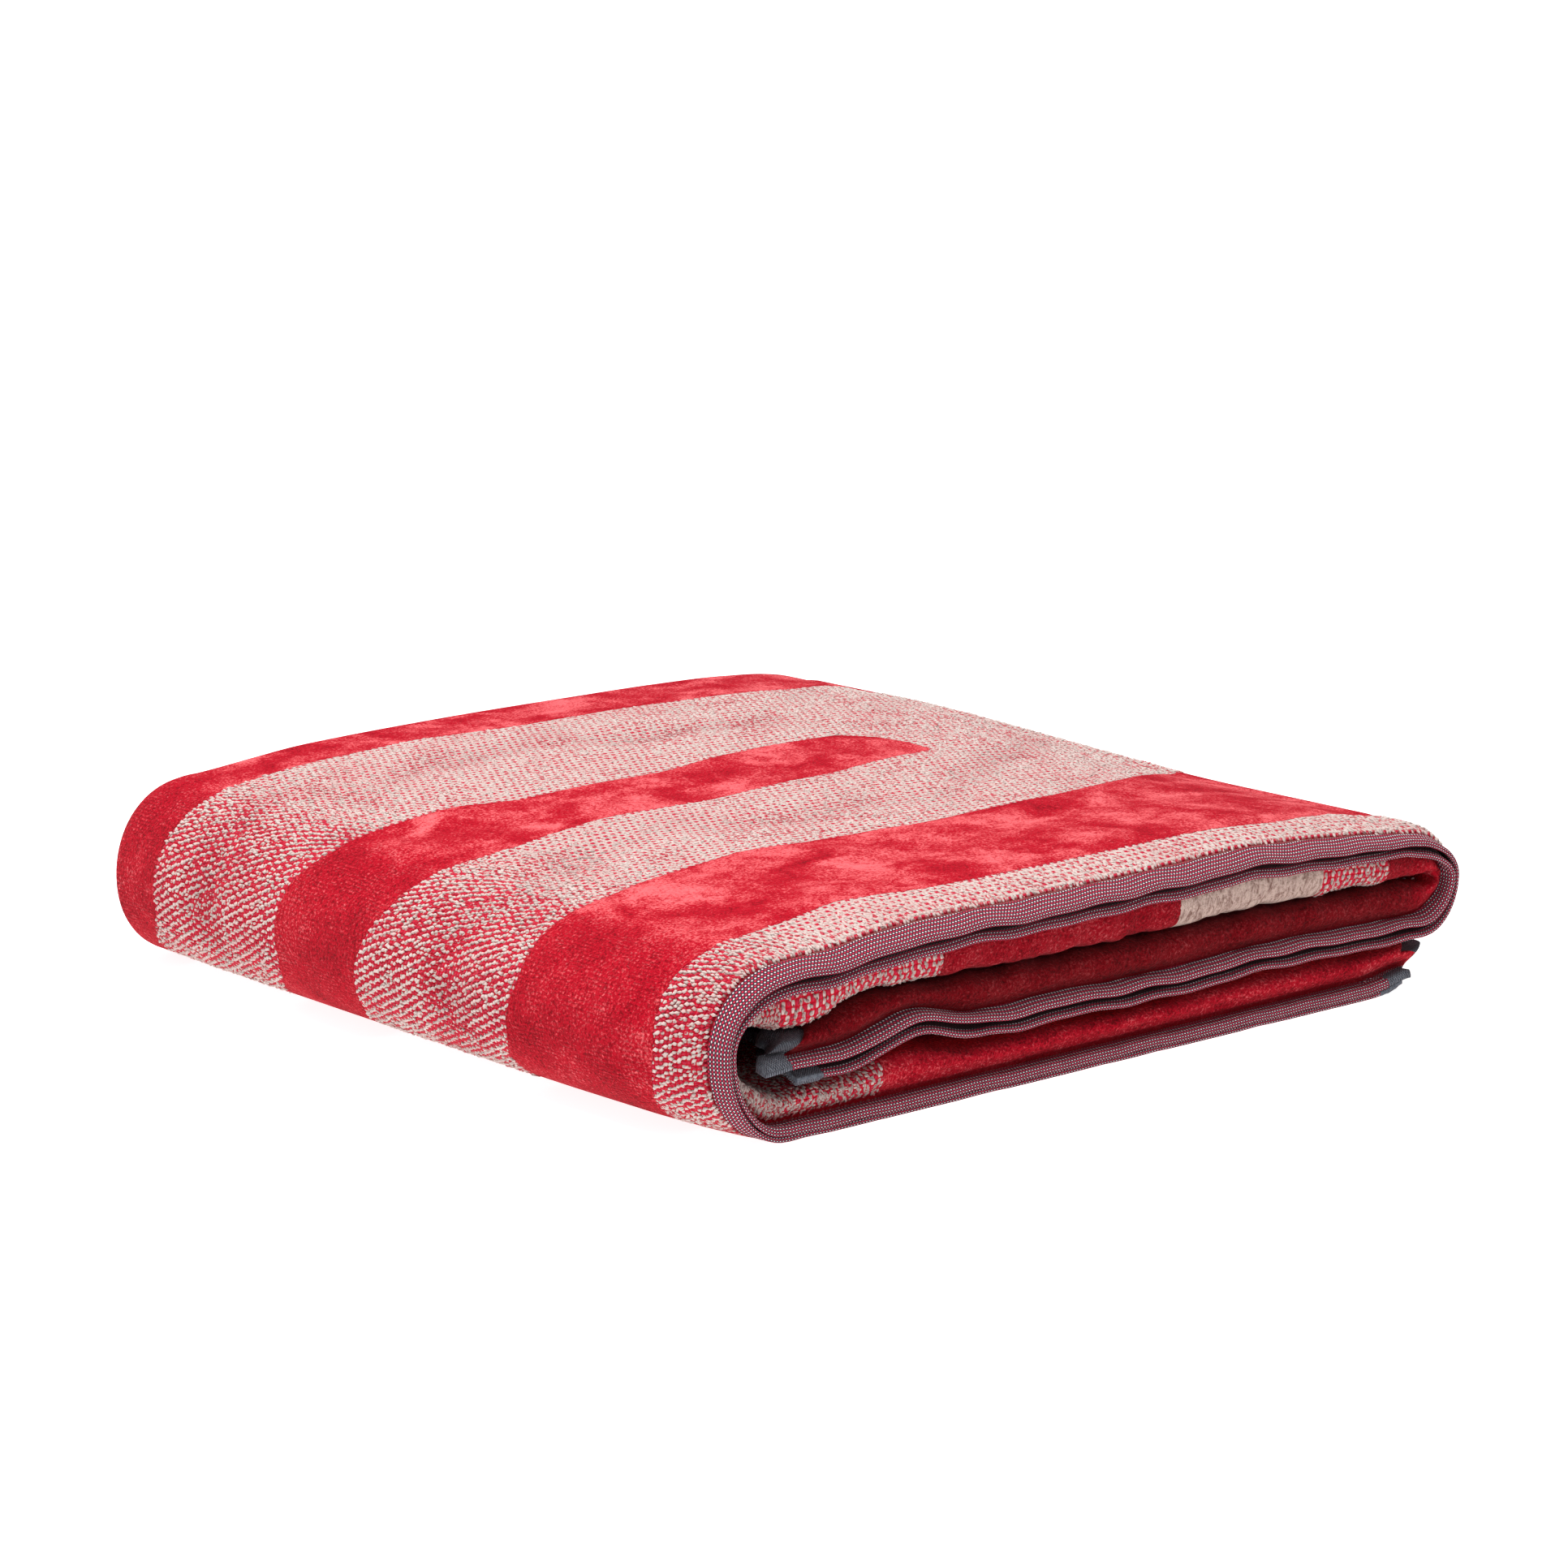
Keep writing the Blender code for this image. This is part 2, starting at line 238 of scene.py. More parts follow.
def fold_line(run, spot, y):
    """x, z, outward normal and loft of the fold line; spot is an x, or a turn of a bend."""
    if run in ("bottom", "top", "middle"):
        x = spot + 0.0 * y
        side = 1.0 if run == "top" else -1.0
        z, near, far, loft = (np.zeros_like(y) for _ in range(4))
        for value in np.unique(np.round(x, 6)):
            at = np.round(x, 6) == value
            z[at] = run_level(run, value, y[at])
            near[at] = run_level(run, value - SLOPE_STEP, y[at])
            far[at] = run_level(run, value + SLOPE_STEP, y[at])
            loft[at] = run_loft(run, value, y[at])
        tilt = np.arctan2(far - near, 2 * SLOPE_STEP)
        return x, z, -np.sin(tilt) * side, np.cos(tilt) * side, loft
    depths, left_bulge, right_bulge = np.array(BULGE).T
    if run == "left bend":
        centre, side = LEFT_BEND_X, -1.0
        reach = LEFT_BEND_REACH + np.interp(y, depths, left_bulge)
        runs, dip = ("bottom", "top"), LEFT_BEND_LOFT
    else:
        centre, side = RIGHT_BEND_X, 1.0
        reach = RIGHT_BEND_REACH + np.interp(y, depths, right_bulge)
        runs, dip = ("top", "middle"), RIGHT_BEND_LOFT
    from_z, to_z = (run_level(r, centre, y) for r in runs)
    from_loft, to_loft = (run_loft(r, centre, y) for r in runs)
    middle, half = (from_z + to_z) / 2, (to_z - from_z) / 2
    x = centre + side * reach * np.sin(spot)
    z = middle - half * np.cos(spot)
    nx, nz = side * np.sin(spot) / reach, -np.cos(spot) / half
    long = np.hypot(nx, nz)
    loft = from_loft + (to_loft - from_loft) * spot / math.pi
    loft = loft + (dip - loft) * np.sin(spot) ** 1.5
    return x, z, nx / long, nz / long, loft


def hem_drop(run, spot, nz):
    """Sag of the side hems of the outer and of the inner ply."""
    if run == "top":
        right = eased(spot, DROP_CHANGE)
        return [a + (b - a) * right for a, b in zip(HEM_DROP["top"], HEM_DROP["top right"])]
    if run in HEM_DROP:
        return HEM_DROP[run]
    near, far = ("bottom", "top") if run == "left bend" else ("top right", "middle")
    return [drop * np.abs(nz) for drop in HEM_DROP[near if spot < math.pi / 2 else far]]


def spread(first, last, step):
    """Places from first to last, about one step apart."""
    return list(np.linspace(first, last, max(2, int(round(abs(last - first) / step)) + 1)))


# Rows along the cloth, from the end on the floor to the tucked end. The end hems' own rows
# are set by their distance from the end, with the thickness there as a share of the hem's.
END_STATIONS = (0.0, 0.0005, 0.0016, 0.0035, 0.0075, 0.0120, 0.0152, 0.0162, 0.0178, 0.0200)
END_PROFILE = (0.40, 0.70, 0.92, 1.0, 1.0, 0.98, 0.90, 0.85, 1.15, 1.40)
rows = [("bottom", None, d) for d in END_STATIONS]
rows += [("bottom", x, None) for x in spread(0.440, 0.150, 0.012) + spread(0.146, 0.046, 0.005)]
rows += [("left bend", math.pi * t, None) for t in spread(0.0, 1.0, 1 / 40)[1:-1]]
rows += [("top", x, None) for x in spread(0.046, 0.475, 0.0034)]
rows += [("right bend", math.pi * t, None) for t in spread(0.0, 1.0, 1 / 24)[1:-1]]
rows += [("middle", x, None) for x in spread(0.475, 0.078, 0.0052)]
rows += [("middle", None, d) for d in reversed(END_STATIONS)]

# Columns across the cloth: outer ply, back fold, inner ply.
outer = spread(0.0, 0.0014, 0.0005) + spread(0.0026, HEM_WIDTH, 0.0015)
outer += [0.0103, 0.0108, 0.0117, 0.0130, 0.0150, 0.0175] + spread(0.021, 0.050, 0.0048)
outer += spread(0.056, 0.468, 0.0066)
outer_thick = np.interp(outer, *np.array(OUTER_FRONT).T)
BACK_STEPS = 14
front = np.array(INNER_FRONT)
fine = np.linspace(0, len(front) - 1, 3 * (len(front) - 1) + 1)
inner_rows = []
for t in fine:
    i = min(int(t), len(front) - 2)
    u = t - i
    p0, p1, p2, p3 = (front[min(max(i + k, 0), len(front) - 1)] for k in (-1, 0, 1, 2))
    curve = 0.5 * (
        2 * p1 + (p2 - p0) * u + (2 * p0 - 5 * p1 + 4 * p2 - p3) * u * u
        + (3 * p1 - p0 - 3 * p2 + p3) * u**3
    )
    curve = curve if i >= 3 else p1 + (p2 - p1) * u
    inner_rows.append(curve)
inner_body = spread(0.075, 0.450, 0.034)
columns = [("outer", d, 1.0, d, t / PILE) for d, t in zip(outer, outer_thick)]
columns += [("fold", i / BACK_STEPS, 1.0, 0.0, 1.0) for i in range(BACK_STEPS + 1)]
columns += [("inner", d, 1.0, d, 1.0) for d in reversed(inner_body)]
columns += [("inner", a, b, c, d) for a, b, c, d in reversed(inner_rows)]

# What each column is: its ply, its share of the turn round the back fold, and its depths.
is_fold = np.array([c[0] == "fold" for c in columns])
is_outer = np.array([c[0] == "outer" for c in columns])
turn = np.array([c[1] if c[0] == "fold" else float(c[0] == "inner") for c in columns])
depth = np.array([DEPTH - PILE - 0.010 if c[0] == "fold" else c[1] for c in columns])
loft_share = np.array([c[2] for c in columns])
pile_depth = np.array([c[3] for c in columns])
pile_share = np.array([c[4] for c in columns])

# Distance from the end, and share of the full pile there, at the front corner of the bottom.
CORNER_PILE = [(0.0, 0.50), (0.0016, 0.80), (0.0050, 0.95), (0.0120, 1.0)]
MIDDLE_END_FULLER = 0.35
TURNED_CORNER = 0.60
# The side hems ripple along their length: long waves, short waves, and the lag of each ply.
HEM_WAVES = (0.0008, 0.0004)
HEM_LAGS = (0.4, 0.7)


def end_thickness(run, spot, ends):
    """Share of the full pile towards the ends of the cloth, and the share that each column
    keeps of it."""
    to_end = ends[0] - spot if run == "bottom" else spot - ends[1]
    stations = END_STATIONS + (0.026,)
    profile = [share * END_HEM / PILE for share in END_PROFILE] + [1.0]
    thick = np.interp(to_end, stations, profile)
    inner = ~is_outer & ~is_fold
    full_end = (run == "middle") * inner * smooth((0.024 - to_end) / 0.006)
    thick = thick * (1.0 + MIDDLE_END_FULLER * full_end)
    # At the front corner of the bottom's inner ply the pile stands right to the end.
    full = np.interp(to_end, *np.array(CORNER_PILE).T)
    near = smooth((0.020 - depth) / 0.010) * (run == "bottom") * inner
    thick = thick + (np.maximum(full, thick) - thick) * near
    # The end hem is turned over the side hem too, so the corner is as thick.
    corner = smooth((END_HEM_WIDTH + 0.0012 - to_end) / 0.0024) * (1.0 - near)
    turned = TURNED_CORNER * np.sqrt(np.clip(depth / 0.0028, 0.10, 1.0))
    return thick, pile_share + (np.maximum(turned, pile_share) - pile_share) * corner


def lay_row(row, pile_side):
    """Points of one row of the folded cloth, on its back or its pile face."""
    run, spot, from_end = row
    ends = cloth_ends(turn, depth)
    if spot is None:
        spot = ends[0] - from_end if run == "bottom" else ends[1] + from_end
    x, z, nx, nz, loft = fold_line(run, spot, depth)
    thick, own_share = np.full_like(depth, float(pile_side)), pile_share
    if pile_side and run in ("bottom", "middle"):
        thick, own_share = end_thickness(run, spot, ends)
    share = np.where(is_fold, thick, np.minimum(own_share, thick))
    y = depth.copy()
    if pile_side:
        y = depth + (pile_depth - depth) * np.minimum(share / own_share, 1.0)
    radius = (SEAM_GAP + loft) / 2
    round_reach = radius + PILE * share
    drawn_in = CORNER * math.sin(spot) ** 2 if "bend" in run else 0.0
    fold_y = DEPTH - drawn_in - PILE - radius + round_reach * np.sin(math.pi * turn)
    fold_offset = (SEAM_GAP - loft) / 2 + round_reach * np.cos(math.pi * turn)
    outer_offset = SEAM_GAP + PILE * share
    inner_offset = -(SEAM_GAP + np.maximum(loft - SEAM_GAP, 0) * loft_share + PILE * share)
    offset = np.where(is_fold, fold_offset, np.where(is_outer, outer_offset, inner_offset))
    y = np.where(is_fold, fold_y, y)
    hang = np.maximum(0.0, 1.0 - depth / HEM_WIDTH)
    drop_spot = float(np.mean(spot))
    outer_drop, inner_drop = hem_drop(run, drop_spot, nz)
    waves = [
        HEM_WAVES[0] * np.sin(x * 83.0 + lag) * np.sin(x * 21.0 + 2.0 * lag)
        + HEM_WAVES[1] * np.sin(x * 167.0 + 3.0 * lag)
        for lag in HEM_LAGS
    ]
    flat_run = (0.45 if run == "bottom" else 1.0) if run in HEM_DROP else np.abs(nz) ** 2
    outer_drop = outer_drop + waves[0] * flat_run
    inner_drop = inner_drop + waves[1] * flat_run
    drop = np.where(is_outer, outer_drop, inner_drop) * hang
    if run == "bottom" or (run == "left bend" and drop_spot < math.pi / 2):
        sunk = np.interp(depth, *np.array(OUTER_FRONT).T)
        drop = drop + (PILE - sunk) * np.maximum(0.0, -nz)
    drop = np.where(is_fold, 0.0, drop)
    z = z + nz * offset - drop
    if run == "bottom":
        curl = CURL_LIFT * smooth((x - CURL_FROM) / CURL_RUN) ** 2
        curl = curl * smooth(1.0 - depth / CURL_REACH)
        z = z + curl * np.where(is_outer, 1.0, 0.70) * ~is_fold
    z = np.maximum(z, 0.0)
    return np.stack([x + nx * offset - FOOTPRINT_MIDDLE[0], y - FOOTPRINT_MIDDLE[1], z], 1)


# Creases of the top and the left bend: place along and across, turn in degrees, length,
# width and depth.
CREASES = [
    (0.700, 0.395, 12.0, 0.110, 0.026, 0.0018),
    (0.810, 0.372, -8.0, 0.120, 0.022, 0.0020),
    (0.640, 0.205, 20.0, 0.100, 0.024, 0.0015),
    (0.760, 0.190, -6.0, 0.130, 0.026, 0.0013),
    (0.870, 0.110, 4.0, 0.140, 0.020, 0.0013),
    (0.720, 0.088, 10.0, 0.110, 0.018, 0.0012),
    (0.940, 0.230, 30.0, 0.100, 0.024, 0.0016),
    (0.600, 0.300, -25.0, 0.090, 0.026, 0.0014),
    (0.520, 0.390, 5.0, 0.070, 0.030, 0.0017),
    (0.505, 0.185, -12.0, 0.070, 0.028, 0.0015),
]


def slack(s, w):
    """How far the outer ply's pile stands off its smooth fold, along its normal."""
    lift = np.zeros_like(s)
    for s0, w0, angle, length, width, deep in CREASES:
        ca, sa = math.cos(math.radians(angle)), math.sin(math.radians(angle))
        u = ((s - s0) * ca + (w - w0) * sa) / length
        v = (-(s - s0) * sa + (w - w0) * ca) / width
        lift -= deep * np.exp(-(u * u) * 3.0) * (1.0 - 1.6 * v * v) * np.exp(-v * v * 1.2)
    lift += 0.00045 * np.sin(s * 71.0 + 2.0 * np.sin(w * 23.0)) * np.sin(w * 63.0 + 1.0)
    return lift


def rumple(s, edge):
    """Uneven roll of the inner ply's pile behind its hem."""
    a = np.sin(s * 183.0 + 3.0 * np.sin(s * 47.0)) * np.sin(edge * 190.0 + s * 60.0 + 0.6)
    b = np.sin(s * 367.0 + 2.0 * np.sin(s * 91.0 + 1.0) + edge * 210.0)
    c = np.sin(s * 96.0 + 2.2 * np.sin(s * 31.0))
    return 0.00055 * a + 0.00035 * b + 0.00055 * c


def run_length(line):
    """Distance along a line of points, from its first."""
    step = np.linalg.norm(np.diff(line, axis=0), axis=1)
    return np.concatenate([[0.0], np.cumsum(step)])


points = {side: np.array([lay_row(row, side) for row in rows]) for side in (False, True)}
# Flat places of the pile face, measured along the outer ply 0.17 m from its hem, and across
# the middle third.
MEASURED_COLUMN = 40
measured_row = next(i for i, r in enumerate(rows) if r[0] == "middle" and r[1] < 0.25)
along = run_length(points[True][:, MEASURED_COLUMN])
across = run_length(points[True][measured_row])
hem_along = [run_length(points[True][:, column]) for column in (0, -1)]
LONG, WIDE = along[-1], across[-1]
flat_s, flat_w = np.meshgrid(along, across, indexing="ij")


def hem_rows(side):
    """Height up the front of each point of a hem, counted round its edge from the pile side."""
    count = len(columns)
    order = list(range(count // 2)), list(range(count - 1, count // 2 - 1, -1))
    turned = np.array([math.sin(r[1]) ** 2 if "bend" in r[0] else 0.0 for r in rows])[:, None]
    up = np.zeros((len(rows), count))
    for inward in order:
        grid = points[side][:, inward]
        move = np.diff(grid, axis=1)
        rise = np.hypot(move[..., 0], move[..., 2])
        step = np.hypot(rise, (0.35 + 0.35 * turned) * move[..., 1])
        up[:, inward[1:]] = np.cumsum(step, axis=1)
        if not side:
            wall = np.linalg.norm(grid[:, 0] - points[True][:, inward[0]], axis=1)
            up[:, inward] = -up[:, inward] - wall[:, None]
    return up


def pile_normals(grid):
    """Square to the pile face at each of its points."""
    ds = np.gradient(grid, axis=0)
    dw = np.gradient(grid, axis=1)
    n = np.cross(dw, ds)
    return n / np.maximum(np.linalg.norm(n, axis=2, keepdims=True), 1e-12)


normals = pile_normals(points[True])
away = np.sum(normals * (points[True] - points[False]), axis=2)
normals = normals * np.sign(np.where(away == 0.0, 1.0, away))[..., None]
free = window(flat_w, 0.012, 0.02, 0.47, 0.03) * window(flat_s, 0.46, 0.03, 1.02, 0.04)
points[True] = points[True] + normals * (slack(flat_s, flat_w) * free)[..., None]
edges = WIDE - flat_w
rolled = window(edges, 0.011, 0.006, 0.075, 0.045)
rolled = rolled * window(flat_s, 0.02, 0.02, LONG - 0.02, 0.02)
points[True] = points[True] + normals * (rumple(flat_s, edges) * rolled)[..., None]

# Woven design: cream and red loops around bars of sheared red pile. Each border is given as
# a place along the cloth and its distance across from the outer edge.
FRONT_BAND = [
    (0.400, 0.050), (0.473, 0.045), (0.492, 0.038), (0.507, 0.035), (0.528, 0.038),
    (0.547, 0.040), (0.570, 0.038), (0.608, 0.041), (0.655, 0.045), (0.703, 0.036),
    (0.787, 0.034), (0.865, 0.034), (0.942, 0.031), (1.006, 0.044), (1.130, 0.046),
]
FIELD_NEAR = [
    (0.400, 0.150), (0.481, 0.144), (0.493, 0.137), (0.522, 0.131), (0.547, 0.134),
    (0.577, 0.136), (0.627, 0.145), (0.684, 0.149), (0.749, 0.141), (0.795, 0.135),
    (0.890, 0.139), (0.956, 0.154), (1.032, 0.186), (1.075, 0.215), (1.105, 0.255),
    (1.120, 0.300),
]
FIELD_FAR = [
    (0.400, 0.470), (0.470, 0.459), (0.483, 0.449), (0.497, 0.438), (0.522, 0.439),
    (0.564, 0.438), (0.596, 0.443), (0.645, 0.446), (0.705, 0.443), (0.767, 0.433),
    (0.839, 0.434), (0.904, 0.430), (0.955, 0.425), (1.023, 0.434), (1.075, 0.400),
    (1.105, 0.350), (1.120, 0.300),
]
BAR_NEAR = [
    (0.400, 0.290), (0.469, 0.269), (0.479, 0.264), (0.488, 0.261), (0.505, 0.256),
    (0.536, 0.244), (0.570, 0.238), (0.616, 0.238), (0.674, 0.246), (0.743, 0.241),
    (0.824, 0.247), (0.907, 0.257), (0.918, 0.260),
]
BAR_FAR = [
    (0.400, 0.375), (0.460, 0.349), (0.480, 0.332), (0.494, 0.325), (0.530, 0.324),
    (0.557, 0.315), (0.594, 0.317), (0.637, 0.315), (0.668, 0.304), (0.698, 0.302),
    (0.768, 0.302), (0.842, 0.314), (0.891, 0.309), (0.908, 0.295), (0.916, 0.277),
    (0.918, 0.260),
]
FIELD_END, BAR_END, OUTER_END = 1.120, 0.918, 1.150
# Blocks beside the inner ply's hem: first and last place along, and their reach across.
SIDE_LOOPS = [(0.360, 0.691), (0.955, 1.006)]
SIDE_CREAM = (0.849, 0.955)
SIDE_REACH = 0.110


def border(table, s):
    data = np.array(table)
    return np.interp(s, data[:, 0], data[:, 1])


def loops_inside(s, w):
    """Distance into the loop pile, negative in the sheared pile."""
    front = border(FRONT_BAND, s) - w
    field = np.minimum(w - border(FIELD_NEAR, s), border(FIELD_FAR, s) - w)
    field = np.minimum(field, FIELD_END - s)
    bar = np.minimum(w - border(BAR_NEAR, s), border(BAR_FAR, s) - w)
    bar = np.minimum(bar, BAR_END - s)
    outer = np.maximum(front, np.minimum(field, -bar))
    outer = np.minimum(outer, OUTER_END - s)
    edge = WIDE - w
    inner = np.full_like(s, -1.0)
    for first, last in SIDE_LOOPS:
        block = np.minimum(np.minimum(s - first, last - s), SIDE_REACH - edge)
        inner = np.maximum(inner, block)
    return np.where(w < WIDE / 2, outer, inner)


def cream_inside(s, w):
    """Distance into the block of cream cut pile."""
    block = np.minimum(s - SIDE_CREAM[0], SIDE_CREAM[1] - s)
    return np.where(w > WIDE / 2, np.minimum(block, SIDE_REACH - (WIDE - w)), -1.0)


def tail_inside(s, w):
    """Distance into the end hems, which the pile hides at the front of the bottom ply."""
    deep = WIDE - w
    hidden = (s < 0.1) * (w > WIDE / 2) * smooth((0.026 - deep) / 0.012)
    hidden = hidden * smooth((deep - HEM_WIDTH + 0.0006) / 0.0012)
    return (END_HEM_WIDTH + 0.003) * (1.0 - hidden) - 0.003 * hidden - np.minimum(s, LONG - s)


def recess_shade_share(s, w):
    """How much painted shade darkens the pile of the plies inside the stack, where little light
    reaches.
    """
    inner = smooth((w - WIDE / 2) / 0.05)
    top = window(s, 0.56, 0.04, 1.06, 0.04)
    middle = smooth((s - 1.10) / 0.05)
    return inner * np.maximum(0.55 * top, 0.95 * middle)


def bend_share(s):
    """1 half way round the bends, where the rows of pile part, to 0 on the flat runs."""
    left = window(s, 0.44, 0.05, 0.60, 0.05)
    right = window(s, 1.02, 0.03, 1.13, 0.03)
    return np.maximum(left, right)


def top_share(s):
    """1 on the top, 0 on the plies below, eased round the upper half of both bends."""
    return window(s, 0.535, 0.085, 1.085, 0.075)


# Spacing of the loops: rows along the cloth, closer in the bends, and wales across it. The
# twill comes round again after four rows.
PICK = 0.00235
BEND_PICK = 0.00220
WALE = 0.00218
TWILL = 4
spacing = PICK + (BEND_PICK - PICK) * bend_share(along)
between = (spacing[1:] + spacing[:-1]) / 2
picks_at = np.concatenate([[0.0], np.cumsum(np.diff(along) / between)])


def woven_sheet(name):
    """The folded cloth as one closed skin: its back, its pile face and its edges."""
    sheet = bmesh.new()
    flat_uv = sheet.loops.layers.uv.new("flat")
    names = "rim under hem_run loops cream tail bend pick top laid".split()
    fields = {key: sheet.verts.layers.float.new(key) for key in names}
    bmesh.ops.create_grid(
        sheet, x_segments=len(columns) - 1, y_segments=len(rows) - 1, size=0.5
    )
    order = sorted(sheet.verts, key=lambda v: (round(v.co.y, 6), round(v.co.x, 6)))
    keys = [(i, j) for i in range(len(rows)) for j in range(len(columns))]
    back = dict(zip(order, keys))
    at = {(round(v.co.x, 6), round(v.co.y, 6)): key for v, key in back.items()}
    lifted = bmesh.ops.extrude_face_region(sheet, geom=list(sheet.faces), use_keep_orig=True)
    pile = {
        v: at[(round(v.co.x, 6), round(v.co.y, 6))]
        for v in lifted["geom"]
        if isinstance(v, bmesh.types.BMVert)
    }
    loops_at, cream_at = loops_inside(flat_s, flat_w), cream_inside(flat_s, flat_w)
    tail_at, recess_shade_at = tail_inside(flat_s, flat_w), recess_shade_share(flat_s, flat_w)
    top_at = top_share(flat_s) * (flat_w < WIDE / 2)
    bend_at = bend_share(along)
    rim_at = {side: hem_rows(side) for side in (False, True)}
    flat_place = {}
    for group, pile_side in ((back, False), (pile, True)):
        for vert, (i, j) in group.items():
            vert.co = Vector(points[pile_side][i, j])
            edge = min(across[j], WIDE - across[j])
            vert[fields["rim"]] = float(rim_at[pile_side][i, j])
            vert[fields["under"]] = 0.0 if pile_side else float(edge)
            vert[fields["tail"]] = float(tail_at[i, j])
            vert[fields["laid"]] = float(recess_shade_at[i, j])
            vert[fields["hem_run"]] = float(hem_along[int(across[j] > WIDE / 2)][i])
            vert[fields["loops"]] = float(loops_at[i, j])
            vert[fields["cream"]] = float(cream_at[i, j])
            vert[fields["bend"]] = float(bend_at[i])
            vert[fields["pick"]] = float(picks_at[i])
            vert[fields["top"]] = float(top_at[i, j])
            flat_place[vert] = (along[i], across[j])
    for face in sheet.faces:
        for loop in face.loops:
            loop[flat_uv].uv = flat_place[loop.vert]
    bmesh.ops.recalc_face_normals(sheet, faces=list(sheet.faces))
    if sheet.calc_volume(signed=True) < 0.0:
        bmesh.ops.reverse_faces(sheet, faces=list(sheet.faces))
    mesh = bpy.data.meshes.new(name)
    sheet.to_mesh(mesh)
    sheet.free()
    mesh.shade_smooth()
    return mesh


cloth_mesh = woven_sheet("terry_cloth")
cloth = bpy.data.objects.new("terry_cloth", cloth_mesh)
bpy.context.scene.collection.objects.link(cloth)


class Finish:
    """A finish of cloth or yarn, put together from shader nodes."""

    def __init__(self, name):
        self.material = bpy.data.materials.new(name)
        self.material.use_nodes = True
        self.tree = self.material.node_tree
        self.shader = self.tree.nodes["Principled BSDF"]

    def link(self, value, socket):
        if isinstance(value, tuple):
            socket.default_value = (*value, 1.0)
        elif isinstance(value, (int, float)):
            socket.default_value = value
        else:
            self.tree.links.new(value, socket)

    def math(self, operation, a, b=0.0, c=0.0):
        node = self.tree.nodes.new("ShaderNodeMath")
        node.operation = operation
        for value, socket in zip((a, b, c), node.inputs):
            self.link(value, socket)
        return node.outputs[0]

    def times(self, a, b):
        return self.math("MULTIPLY", a, b)

    def plus(self, a, b):
        return self.math("ADD", a, b)

    def less(self, a, b):
        return self.math("SUBTRACT", a, b)

    def ramp(self, a, slope, start):
        """a times a slope, and a start added."""
        return self.math("MULTIPLY_ADD", a, slope, start)

    def wave(self, a):
        return self.math("SINE", a)

    def part(self, a):
        return self.math("FRACT", a)

    def blend(self, share, a, b):
        """a where the share is 0, b where it is 1."""
        return self.plus(self.times(a, self.less(1.0, share)), self.times(b, share))

    def step(self, value, low, high, out_low=0.0, out_high=1.0):
        """Eased from one value to another while the input goes from low to high."""
        node = self.tree.nodes.new("ShaderNodeMapRange")
        node.interpolation_type = "SMOOTHSTEP"
        self.link(value, node.inputs["Value"])
        limits = {"From Min": low, "From Max": high, "To Min": out_low, "To Max": out_high}
        for key, number in limits.items():
            node.inputs[key].default_value = number
        return node.outputs["Result"]

    def mix(self, share, a, b, kind="MIX"):
        node = self.tree.nodes.new("ShaderNodeMix")
        node.data_type = "RGBA"
        node.blend_type = kind
        colours = [socket for socket in node.inputs if socket.type == "RGBA"]
        self.link(share, node.inputs[0])
        self.link(a, colours[0])
        self.link(b, colours[1])
        return next(socket for socket in node.outputs if socket.type == "RGBA")

    def place(self, x, y, z=0.0):
        node = self.tree.nodes.new("ShaderNodeCombineXYZ")
        for value, socket in zip((x, y, z), node.inputs):
            self.link(value, socket)
        return node.outputs[0]

    def noise(self, where, scale, detail=2.0, rough=0.5, warp=0.0):
        node = self.tree.nodes.new("ShaderNodeTexNoise")
        self.tree.links.new(where, node.inputs["Vector"])
        node.inputs["Scale"].default_value = scale
        node.inputs["Detail"].default_value = detail
        node.inputs["Roughness"].default_value = rough
        node.inputs["Distortion"].default_value = warp
        return node.outputs["Fac"]

    def field(self, name):
        node = self.tree.nodes.new("ShaderNodeAttribute")
        node.attribute_name = name
        return node.outputs["Fac"]

    def flat(self):
        """Place on the flat cloth, along and across."""
        node = self.tree.nodes.new("ShaderNodeUVMap")
        node.uv_map = "flat"
        split = self.tree.nodes.new("ShaderNodeSeparateXYZ")
        self.tree.links.new(node.outputs["UV"], split.inputs[0])
        return split.outputs[0], split.outputs[1]

    def coords(self):
        return self.tree.nodes.new("ShaderNodeTexCoord").outputs["Object"]

    def bump(self, height, distance, strength=1.0):
        node = self.tree.nodes.new("ShaderNodeBump")
        node.inputs["Distance"].default_value = distance
        node.inputs["Strength"].default_value = strength
        self.tree.links.new(height, node.inputs["Height"])
        self.tree.links.new(node.outputs["Normal"], self.shader.inputs["Normal"])


CREAM = (0.595, 0.490, 0.455)
CREAM_SHADE = (0.500, 0.390, 0.360)
RED_DARK = (0.150, 0.0010, 0.0045)
RED = (0.445, 0.0030, 0.0155)
RED_HIGHLIGHT = (0.84, 0.145, 0.160)
RED_LOOP = (0.480, 0.018, 0.046)
BEIGE = (0.56, 0.41, 0.355)
BEIGE_DARK = (0.20, 0.110, 0.090)
SLATE = (0.165, 0.178, 0.205)
SLATE_DARK = (0.030, 0.033, 0.045)
HEM_GROUND = (0.070, 0.026, 0.040)
HEM_WHITE = (0.86, 0.79, 0.80)
HEM_RED = (0.56, 0.030, 0.070)
GAP_SHADE = (0.030, 0.012, 0.014)
# Painted shade for the plies and loops inside the stack and in creases.
RECESS_SHADE_TONE = (0.34, 0.24, 0.24)
# Side hems: length of a stitch and width of a row of them. End hems: width of two threads.
HEM_STITCH, HEM_STITCH_ROW, END_HEM_THREADS = 0.0019, 0.00068, 0.0014


